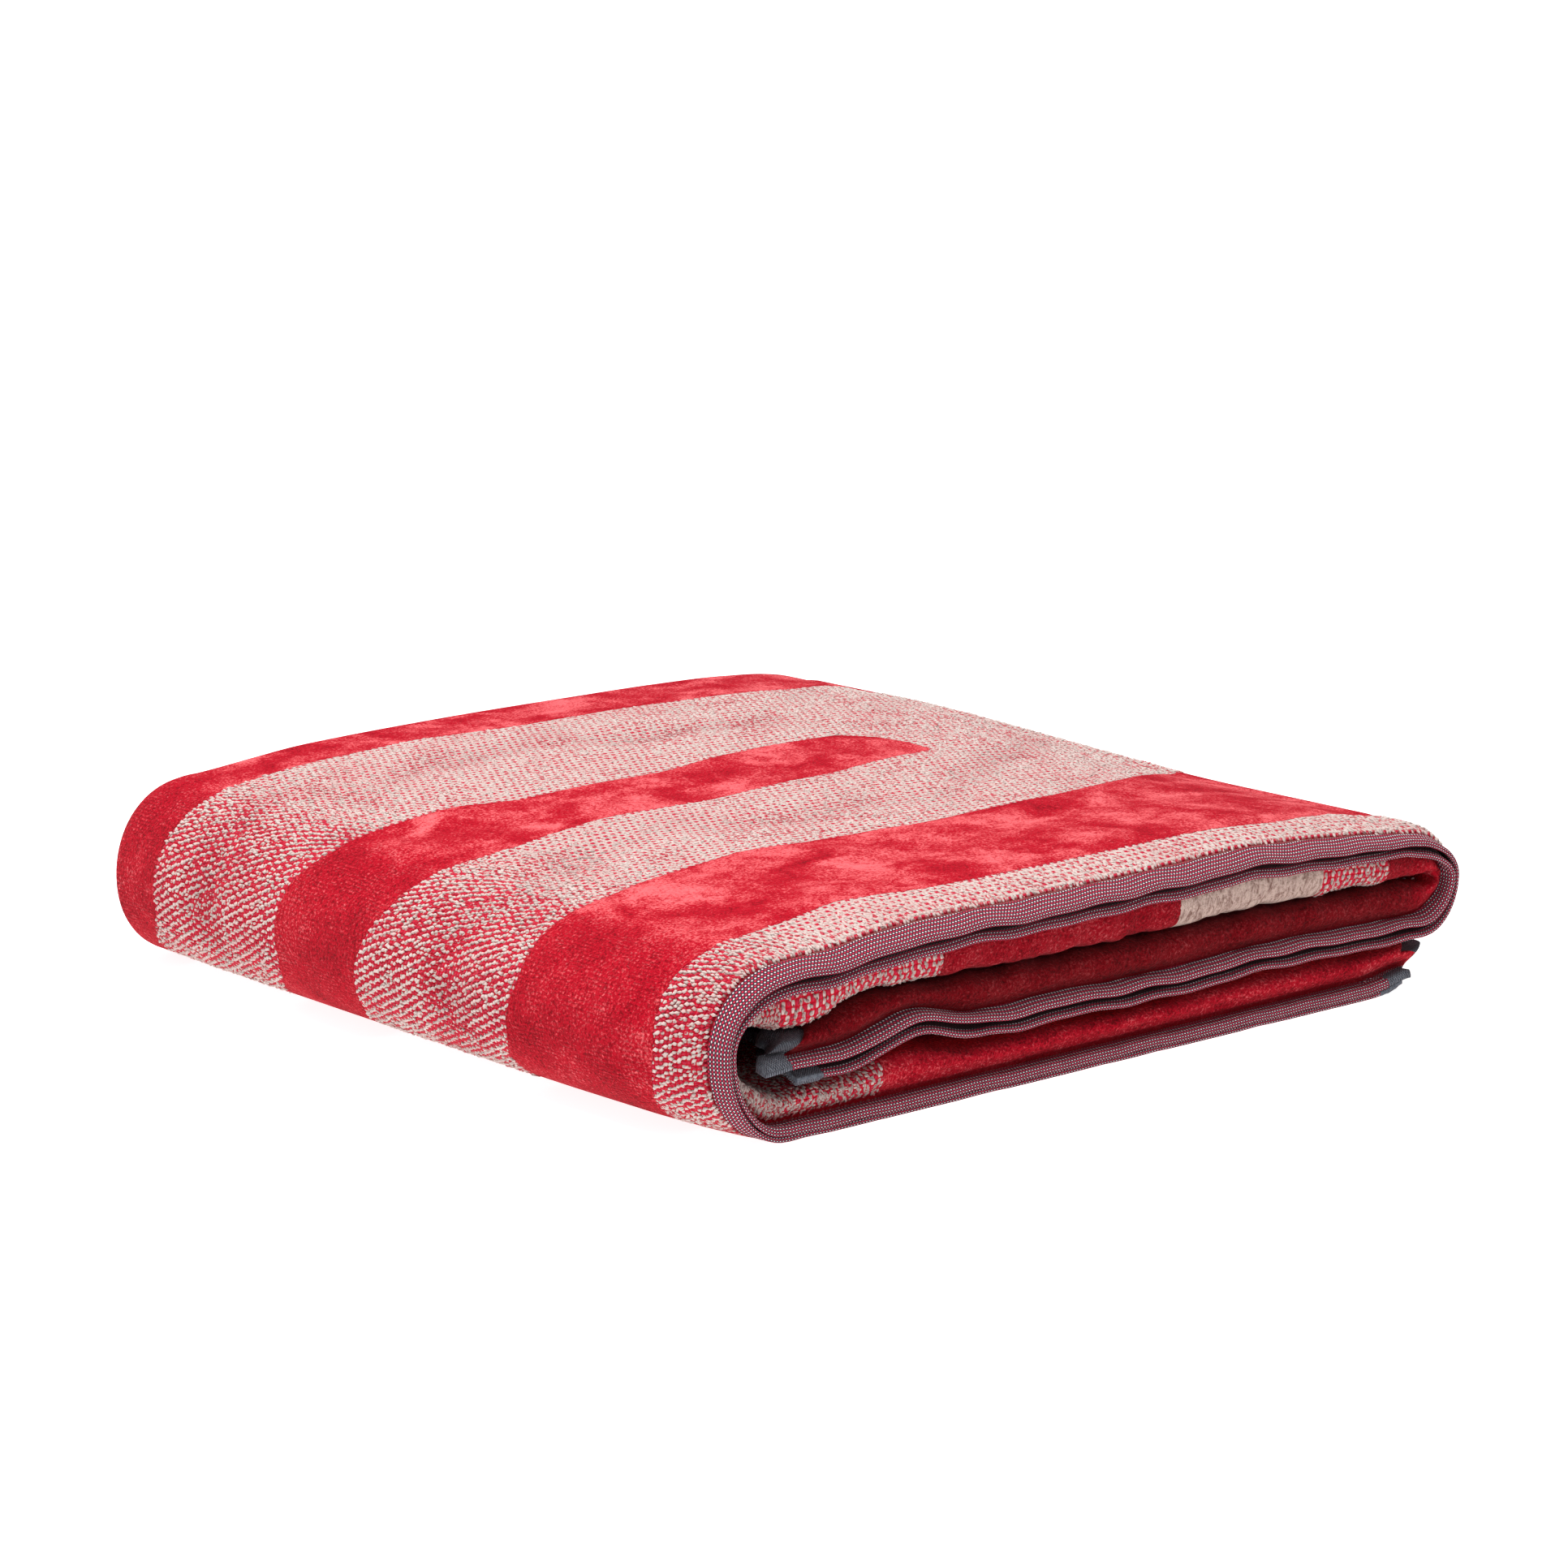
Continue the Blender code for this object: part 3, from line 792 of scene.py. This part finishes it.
def terry_finish():
    m = Finish("terry_pile")
    s, w = m.flat()
    where = m.coords()
    bend = m.field("bend")
    pick = m.field("pick")
    top = m.field("top")
    rim = m.field("rim")
    # Sheared pile: crushed patches along the cloth, single tufts, fibre ends with painted
    # highlights.
    drift = m.noise(where, 30.0, 2.0)
    crushed = m.place(m.times(s, 25.0), m.ramp(w, 30.0, drift))
    patch = m.noise(crushed, 1.0, 3.0, 0.50, 0.5)
    cloud = m.noise(where, 95.0, 3.0, 0.6, 0.4)
    tuft = m.noise(where, 700.0, 3.0, 0.7)
    nap = m.plus(m.times(m.less(patch, 0.5), 2.0), m.less(cloud, 0.5))
    # On the top the patches are stronger and the tone lighter: a painted sheen.
    nap = m.times(nap, m.ramp(top, 0.50, 0.50))
    grain = m.times(m.times(m.less(tuft, 0.5), 3.2), m.ramp(top, -0.30, 1.0))
    tone = m.plus(m.plus(m.ramp(top, 0.30, 0.42), nap), grain)
    velour = m.mix(m.step(tone, -0.25, 0.5), RED_DARK, RED)
    velour = m.mix(m.step(tone, 0.5, 1.30), velour, RED_HIGHLIGHT)
    # Painted shade in the crevices between tufts, less on the top.
    crevice_shade = m.step(m.noise(where, 420.0, 3.0, 0.65, 0.7), 0.45, 0.33)
    crevice_shade = m.times(crevice_shade, m.ramp(top, -0.45, 0.60))
    velour = m.mix(crevice_shade, velour, RED_DARK)
    # Round the bends the rows of pile part, with painted shade in the gaps between rows.
    rows_of_pile = m.times(pick, 2.0 * math.pi)
    rib = m.wave(m.plus(rows_of_pile, m.times(m.noise(where, 260.0, 2.0), 5.0)))
    rib_shade = m.times(m.step(rib, 0.0, 1.0), bend)
    broken = m.step(m.plus(tuft, m.times(cloud, 0.7)), 0.80, 0.98)
    rib_shade = m.times(rib_shade, broken)
    velour = m.mix(m.times(rib_shade, 0.35), velour, RED_DARK)
    # Painted shade on the plies inside the stack.
    velour = m.mix(m.field("laid"), velour, RECESS_SHADE_TONE, "MULTIPLY")
    velour_high = m.plus(m.times(tuft, 1.3), m.times(cloud, 1.2))
    velour_high = m.less(velour_high, m.times(rib_shade, 0.5))
    # Loop pile between and below the loops that stand free. 4000 keeps the count positive.
    row = m.math("FLOOR", pick)
    col = m.math("DIVIDE", w, WALE)
    turn = m.less(m.math("FLOOR", col), m.times(row, 2.0))
    turn = m.math("MODULO", m.plus(turn, 1000.0 * TWILL), TWILL)
    is_red = m.math("GREATER_THAN", turn, m.ramp(top, 1.0, 1.5))
    loop_tone = m.mix(m.step(tuft, 0.3, 0.7), CREAM_SHADE, CREAM)
    loop_tone = m.mix(is_red, loop_tone, RED_LOOP)
    bell_s = m.wave(m.times(m.part(pick), math.pi))
    bell_w = m.wave(m.times(m.part(col), math.pi))
    loop_high = m.times(bell_s, bell_w)
    between = m.times(m.step(loop_high, 0.65, 0.05), m.ramp(top, -0.75, 1.0))
    loop_tone = m.mix(between, loop_tone, RED)
    jag = m.times(m.less(m.noise(where, 420.0, 2.0), 0.5), 0.0030)
    loops = m.step(m.plus(m.field("loops"), jag), -0.0002, 0.0002)
    # Cream cut pile.
    cream = m.step(m.plus(m.field("cream"), jag), -0.0004, 0.0004)
    clump = m.noise(m.place(m.times(s, 330.0), m.times(w, 240.0)), 1.0, 4.0, 0.7, 1.2)
    cream_tone = m.mix(m.step(m.ramp(grain, 0.10, clump), 0.30, 0.62), BEIGE_DARK, BEIGE)
    colour = m.mix(loops, velour, loop_tone)
    colour = m.mix(cream, colour, cream_tone)
    high = m.blend(loops, velour_high, m.times(loop_high, 0.5))
    # Side hems: rows of white and red stitches on a dark ground, turned round the edge.
    edge = m.math("MINIMUM", w, m.less(WIDE, w))
    stitch_s = m.math("DIVIDE", m.field("hem_run"), HEM_STITCH)
    stitch_w = m.math("DIVIDE", m.plus(rim, 0.0500), HEM_STITCH_ROW)
    odd = m.math("MODULO", m.math("FLOOR", stitch_w), 2.0)
    du = m.less(m.part(m.ramp(odd, 0.5, stitch_s)), 0.5)
    dv = m.times(m.less(m.part(stitch_w), 0.5), 0.72)
    far = m.math("SQRT", m.plus(m.times(du, du), m.times(dv, dv)))
    size = m.ramp(odd, -0.08, -0.33)
    knot = m.step(m.less(m.times(far, -1.0), size), -0.02, 0.16)
    knot_tone = m.mix(m.math("GREATER_THAN", odd, 0.5), HEM_WHITE, HEM_RED)
    knot_tone = m.mix(m.step(tuft, 0.45, 0.80, 0.0, 0.6), knot_tone, HEM_GROUND)
    hem_tone = m.mix(knot, HEM_GROUND, knot_tone)
    hem_tone = m.mix(m.step(m.field("under"), 0.0028, 0.0040), hem_tone, GAP_SHADE)
    hem = m.step(edge, HEM_WIDTH + 0.0006, HEM_WIDTH)
    # End hems: fine slate cloth.
    tail = m.step(m.field("tail"), -0.0003, 0.0001)
    threads = 2.0 * math.pi / END_HEM_THREADS
    thread = m.times(m.wave(m.times(w, threads)), m.wave(m.times(s, threads)))
    lit = m.step(m.plus(thread, m.times(grain, 0.8)), -0.8, 0.8)
    tail_tone = m.mix(lit, SLATE_DARK, SLATE)
    # Painted shade darkens the pile in the crease where it meets the side hem.
    tuck_shade = m.step(edge, HEM_WIDTH + 0.0028, HEM_WIDTH + 0.0012)
    colour = m.mix(m.times(tuck_shade, 0.85), colour, RED_DARK)
    colour = m.mix(hem, colour, hem_tone)
    colour = m.mix(tail, colour, tail_tone)
    high = m.blend(hem, high, m.times(knot, 0.6))
    high = m.blend(tail, high, m.times(thread, 0.25))
    m.link(colour, m.shader.inputs["Base Color"])
    m.shader.inputs["Roughness"].default_value = 0.95
    m.shader.inputs["Specular IOR Level"].default_value = 0.05
    m.shader.inputs["Sheen Weight"].default_value = 0.08
    m.shader.inputs["Sheen Roughness"].default_value = 0.35
    m.shader.inputs["Sheen Tint"].default_value = (1.0, 0.55, 0.55, 1.0)
    m.bump(high, 0.0012, 1.0)
    return m.material


cloth_mesh.materials.append(terry_finish())
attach(cloth, "root")
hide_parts("towel")

# ---------------------------------------------------------------------------------------
# Loop pile. Uncut loops of two-ply cotton, woven in rows between the sheared bars. Two cream
# loops stand to one or two red ones, and each row is set on from the last, which draws the
# twill. They are made in seven patches: the front, both bends, the top and the inner ply.
LOOP_LONG, LOOP_THICK, LOOP_HIGH = 0.0030, 0.00150, 0.0017
SLANT, ARCH = 0.34, 0.30
FROM_BAR, FROM_HEM = 0.0008, 0.0012
# Share of each row's second loops that are red, and what opened rows add to it. Then the
# share that is out of order, and what flat rows and the neighbourhood of a hem add to it.
RED_SECOND, RED_SECOND_OPEN = 0.40, 0.55
ASTRAY, ASTRAY_FLAT, ASTRAY_BY_HEM = 0.07, 0.10, 0.22
# Depth of a crease at full effect, the red loops it adds, and the painted shade it adds.
CREASE_DEEP, CREASE_RED, CREASE_SHADE = 0.0016, 0.45, 0.42
# Degrees: how a loop is turned from the row, how that varies, and how its tilt varies.
TURN, TURN_SPREAD, TURN_SPREAD_FLAT = -19.0, 11.0, 13.0
TILT_SPREAD, TILT_SPREAD_OPEN = 9.0, 5.0
# Painted shade, reddish, at the roots of the loops.
ROOT_SHADE = (0.56, 0.27, 0.26)


def low_loops(count, rings):
    """Copies of one low loop, each with the same number of points."""
    block = bmesh.new()
    bmesh.ops.create_uvsphere(block, u_segments=4, v_segments=rings, radius=1.0)
    bmesh.ops.recalc_face_normals(block, faces=list(block.faces))
    each = len(block.verts)
    faces_each = len(block.faces)
    # The first two copies come out with some points exchanged; all others are whole.
    made = 1
    while made < count:
        block.faces.ensure_lookup_table()
        more = min(made, count - made)
        bmesh.ops.duplicate(block, geom=block.faces[: more * faces_each])
        made += more
    mesh = bpy.data.meshes.new("loops")
    block.to_mesh(mesh)
    block.free()
    return mesh, each


def on_pile(s, w):
    """Points of the pile face at flat places, with the directions along, across and out."""
    i = np.clip(np.searchsorted(along, s) - 1, 0, len(along) - 2)
    j = np.clip(np.searchsorted(across, w) - 1, 0, len(across) - 2)
    u = ((s - along[i]) / (along[i + 1] - along[i]))[:, None]
    v = ((w - across[j]) / (across[j + 1] - across[j]))[:, None]
    grid = points[True]
    a, b, c, d = grid[i, j], grid[i + 1, j], grid[i, j + 1], grid[i + 1, j + 1]
    spot = a * (1 - u) * (1 - v) + b * u * (1 - v) + c * (1 - u) * v + d * u * v
    t = (b - a) * (1 - v) + (d - c) * v
    t /= np.linalg.norm(t, axis=1)[:, None]
    k = (c - a) * (1 - u) + (d - b) * u
    k -= t * np.sum(k * t, axis=1)[:, None]
    k /= np.linalg.norm(k, axis=1)[:, None]
    n = np.cross(t, k)
    out = normals[i, j]
    n *= np.sign(np.sum(n * out, axis=1))[:, None]
    return spot, t, k, n


def patch_of_loops(name, s_range, w_range, rings, material, laid=0.0):
    """Loops on the part of the design that lies in a range along and across the cloth."""
    first = math.ceil(np.interp(s_range[0], along, picks_at))
    last = math.floor(np.interp(s_range[1], along, picks_at))
    picks = np.arange(first, last)
    wales = np.arange(math.ceil(w_range[0] / WALE), math.floor(w_range[1] / WALE))
    pick, wale = (g.ravel() for g in np.meshgrid(picks, wales, indexing="ij"))
    count = len(pick)
    rng = np.random.default_rng(abs(first) * 7 + len(wales))
    row_s = np.interp(pick, picks_at, along)
    # Round the bends the rows part, and their loops stand open and in order.
    opened = window(row_s, 0.44, 0.05, 0.67, 0.12)
    opened = np.maximum(opened, bend_share(row_s) * (row_s > 0.80))
    calm = 1.0 - 0.20 * opened
    # Which loops are red: the twill, with some astray, and more in the creases.
    phase = (wale - 2 * pick) % TWILL
    second = rng.random(count) < RED_SECOND + RED_SECOND_OPEN * opened
    red = (phase == 3) | ((phase == 2) & second)
    by_hem = smooth((0.022 - np.minimum(wale * WALE, WIDE - wale * WALE)) / 0.008)
    astray = ASTRAY + ASTRAY_FLAT * (1.0 - opened) + ASTRAY_BY_HEM * by_hem
    red = red ^ (rng.random(count) < astray)
    dent = -slack(np.interp(pick + 0.5, picks_at, along), (wale + 0.5) * WALE)
    dent = np.clip(dent / CREASE_DEEP, 0, 1)
    red = red | ((rng.random(count) < CREASE_RED * dent) & (wale * WALE < WIDE / 2))
    # Where each stands on the flat cloth.
    jitter = np.clip(rng.normal(0.0, 1.0, (count, 8)), -2.2, 2.2)
    sway = np.sin(wale * 0.31 + 2.0 * np.sin(pick * 0.11)) + np.sin(pick * 0.23 + wale * 0.12)
    aside = np.where(phase < 2, phase - 0.5, phase - 2.5)
    loose = 0.26 - 0.09 * opened
    row = pick + 0.5 + (loose * jitter[:, 0] + 0.22 * sway) * calm
    s = np.interp(row, picks_at, along) - SLANT * aside * WALE
    drift = 0.3 * np.sin(pick * 0.37 + wale * 0.05)
    w = (wale + 0.5 + (loose * jitter[:, 1] + drift) * calm) * WALE
    inside = loops_inside(s, w)
    edge = np.minimum(w, WIDE - w)
    keep = (inside > FROM_BAR) & (edge > HEM_WIDTH + FROM_HEM)
    s, w, red, jitter, opened = s[keep], w[keep], red[keep], jitter[keep], opened[keep]
    dent = dent[keep] * (w < WIDE / 2)
    count = len(s)
    # Its length, thickness, height, turn and tilt on the folded cloth.
    mesh, each = low_loops(count, rings)
    base = np.empty(len(mesh.vertices) * 3, dtype=np.float32)
    mesh.vertices.foreach_get("co", base)
    base = base.reshape(count, each, 3)
    spot, t, k, n = on_pile(s, w)
    size = 1.0 + 0.14 * jitter[:, 2]
    long = LOOP_LONG * size * np.where(red, 0.85 + 0.07 * opened, 1.24 - 0.08 * opened) / 2
    thick = LOOP_THICK * (1.0 + 0.14 * jitter[:, 3]) * np.where(red, 0.95, 1.20) / 2
    high = LOOP_HIGH * (0.50 + 0.50 * opened) * (1.0 + 0.15 * jitter[:, 4]) / 2
    turned = TURN_SPREAD + TURN_SPREAD_FLAT * (1.0 - opened)
    turn = np.radians(TURN + turned * jitter[:, 5])
    tilt = np.radians((TILT_SPREAD + TILT_SPREAD_OPEN * opened) * jitter[:, 6])
    ca, sa = np.cos(turn)[:, None], np.sin(turn)[:, None]
    long_way = k * ca + t * sa
    thick_way = t * ca - k * sa
    lean = np.cos(tilt)[:, None], np.sin(tilt)[:, None]
    long_way, up = long_way * lean[0] + n * lean[1], n * lean[0] - long_way * lean[1]
    worn = np.sin(s * 57.0 + 3.0 * np.sin(w * 41.0)) * np.sin(w * 77.0 + 2.0 * np.sin(s * 33.0))
    lift = np.where(red, -0.00025 + 0.00030 * worn, 0.00015 * opened - 0.00005)
    lift = lift + (0.00010 + 0.00010 * opened) * jitter[:, 7]
    x, y, z = base[..., 0], base[..., 1], base[..., 2]
    arch = z * high[:, None] - ARCH * high[:, None] * x * x
    place = spot[:, None] + long_way[:, None] * (x * long[:, None])[..., None]
    place = place + thick_way[:, None] * (y * thick[:, None])[..., None]
    place = place + up[:, None] * (arch + lift[:, None])[..., None]
    place[..., 2] = np.maximum(place[..., 2], 0.0)
    mesh.vertices.foreach_set("co", place.astype(np.float32).ravel())
    # Marks for the finish of the yarn.
    marks = {
        "red": red * (0.78 + 0.22 * opened),
        "tint": rng.random(count),
        # Painted shade: some on the inner patch, more in the creases.
        "laid": laid + CREASE_SHADE * dent,
    }
    for key, values in marks.items():
        layer = mesh.attributes.new(key, "FLOAT", "POINT")
        layer.data.foreach_set("value", np.repeat(values, each).astype(np.float32))
    # Height up each loop, for the painted shade at its root.
    layer = mesh.attributes.new("root", "FLOAT", "POINT")
    layer.data.foreach_set("value", (0.5 - 0.5 * z).astype(np.float32).ravel())
    mesh.update()
    mesh.shade_smooth()
    mesh.materials.append(material)
    piece = bpy.data.objects.new(name, mesh)
    bpy.context.scene.collection.objects.link(piece)
    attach(piece, "root")
    return piece


def yarn_finish():
    m = Finish("loop_yarn")
    where = m.coords()
    twist = m.noise(where, 1500.0, 2.0, 0.6)
    tint = m.field("tint")
    shade = m.step(m.ramp(tint, 0.35, twist), 0.35, 0.75)
    cream = m.mix(shade, CREAM_SHADE, CREAM)
    red = m.mix(shade, RED, RED_LOOP)
    # Painted shade at the roots of the cream loops.
    cream = m.mix(m.step(m.field("root"), 0.42, 0.95), cream, ROOT_SHADE)
    # Painted shade in random soft patches over the cream.
    patchy_shade = m.step(m.noise(where, 24.0, 3.0, 0.55, 0.6), 0.50, 0.66, 0.0, 0.34)
    cream = m.mix(patchy_shade, cream, ROOT_SHADE)
    colour = m.mix(m.field("red"), cream, red)
    # Painted shade on the inner patch and in the creases.
    colour = m.mix(m.field("laid"), colour, RECESS_SHADE_TONE, "MULTIPLY")
    m.link(colour, m.shader.inputs["Base Color"])
    m.shader.inputs["Roughness"].default_value = 0.85
    m.shader.inputs["Specular IOR Level"].default_value = 0.25
    m.shader.inputs["Sheen Weight"].default_value = 0.16
    m.shader.inputs["Sheen Roughness"].default_value = 0.4
    m.bump(twist, 0.0006, 0.7)
    return m.material


yarn = yarn_finish()
patches = [
    patch_of_loops("loops_front", (0.455, 1.135), (0.0, 0.060), 4, yarn),
    patch_of_loops("loops_left_bend", (0.455, 0.600), (0.060, 0.480), 4, yarn),
    patch_of_loops("loops_top_left", (0.600, 0.760), (0.060, 0.480), 3, yarn),
    patch_of_loops("loops_top_middle", (0.760, 0.900), (0.060, 0.480), 3, yarn),
    patch_of_loops("loops_top_right", (0.900, 1.010), (0.060, 0.480), 3, yarn),
    patch_of_loops("loops_right_bend", (1.010, 1.130), (0.060, 0.480), 3, yarn),
    patch_of_loops("loops_inner", (0.340, 1.020), (WIDE - 0.070, WIDE), 4, yarn, laid=0.5),
]

# ---------------------------------------------------------------------------------------
# Tacking stitches. Three short stitches of white cotton thread, left in the pile of the
# inner ply beside the right bend.
TACK_ALONG = np.array([1.106, 1.100, 1.092])
TACK_FROM_EDGE = np.array([0.0461, 0.0436, 0.0401])
TACK_HALF_SIZE = (0.0011, 0.0007, 0.0005)
TACK_STANDS = 0.0002
TACK_WHITE = (0.85, 0.78, 0.77)
TACK_SHADE = (0.55, 0.42, 0.42)
tacks = bmesh.new()
for spot, t, k, n in zip(*on_pile(TACK_ALONG, WIDE - TACK_FROM_EDGE)):
    for vert in bmesh.ops.create_icosphere(tacks, subdivisions=2, radius=1.0)["verts"]:
        x, y, z = (a * half for a, half in zip(vert.co, TACK_HALF_SIZE))
        vert.co = Vector(spot + t * x + k * y + n * (z + TACK_STANDS))
tack_mesh = bpy.data.meshes.new("tacking_stitches")
tacks.to_mesh(tack_mesh)
tacks.free()
tack_mesh.shade_smooth()
thread = Finish("white_thread")
fibres = thread.noise(thread.coords(), 2500.0, 2.0)
thread.link(thread.mix(fibres, TACK_SHADE, TACK_WHITE), thread.shader.inputs["Base Color"])
thread.shader.inputs["Roughness"].default_value = 0.8
tack_mesh.materials.append(thread.material)
tack = bpy.data.objects.new("tacking_stitches", tack_mesh)
bpy.context.scene.collection.objects.link(tack)
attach(tack, "root")

# ---------------------------------------------------------------------------------------
# Floor, camera and light. A plain white sweep far wider than the towel, one large soft lamp
# over it, and a long lens that looks down on the corner with the open hems.
floor_mesh = bmesh.new()
bmesh.ops.create_grid(floor_mesh, x_segments=1, y_segments=1, size=40.0)
floor_data = bpy.data.meshes.new("floor")
floor_mesh.to_mesh(floor_data)
floor_mesh.free()
floor = bpy.data.objects.new("floor", floor_data)
bpy.context.scene.collection.objects.link(floor)
white = bpy.data.materials.new("white_paper")
white.use_nodes = True
paper = white.node_tree.nodes["Principled BSDF"]
paper.inputs["Base Color"].default_value = (0.70, 0.70, 0.70, 1.0)
paper.inputs["Roughness"].default_value = 1.0
paper.inputs["Specular IOR Level"].default_value = 0.0
paper.inputs["Emission Color"].default_value = (1.0, 1.0, 1.0, 1.0)
paper.inputs["Emission Strength"].default_value = 0.90
floor_data.materials.append(white)

lamp_data = bpy.data.lights.new("softbox", "AREA")
lamp_data.shape = "DISK"
lamp_data.size = 1.6
lamp_data.energy = 68.0
lamp = bpy.data.objects.new("softbox", lamp_data)
bpy.context.scene.collection.objects.link(lamp)
lamp.location = (-0.55, -0.10, 2.05)
lamp_look = Vector((0.0, 0.0, 0.05)) - lamp.location
lamp.rotation_euler = lamp_look.to_track_quat("-Z", "Y").to_euler()

CAMERA_AT = (-1.52454, -1.76850, 0.59268)
VIEW_TURN, VIEW_DIP = math.radians(40.891), math.radians(11.928)
camera_data = bpy.data.cameras.new("camera")
camera_data.lens = 105.0
camera_data.sensor_width = 36.0
camera = bpy.data.objects.new("camera", camera_data)
bpy.context.scene.collection.objects.link(camera)
camera.location = CAMERA_AT
look = Vector((
    math.sin(VIEW_TURN) * math.cos(VIEW_DIP),
    math.cos(VIEW_TURN) * math.cos(VIEW_DIP),
    -math.sin(VIEW_DIP),
))
camera.rotation_euler = look.to_track_quat("-Z", "Y").to_euler()
bpy.context.scene.camera = camera

world = bpy.data.worlds.new("room")
world.use_nodes = True
air = world.node_tree.nodes["Background"]
air.inputs["Color"].default_value = (1.0, 1.0, 1.0, 1.0)
air.inputs["Strength"].default_value = 0.42
bpy.context.scene.world = world
bpy.context.scene.view_settings.view_transform = "Standard"
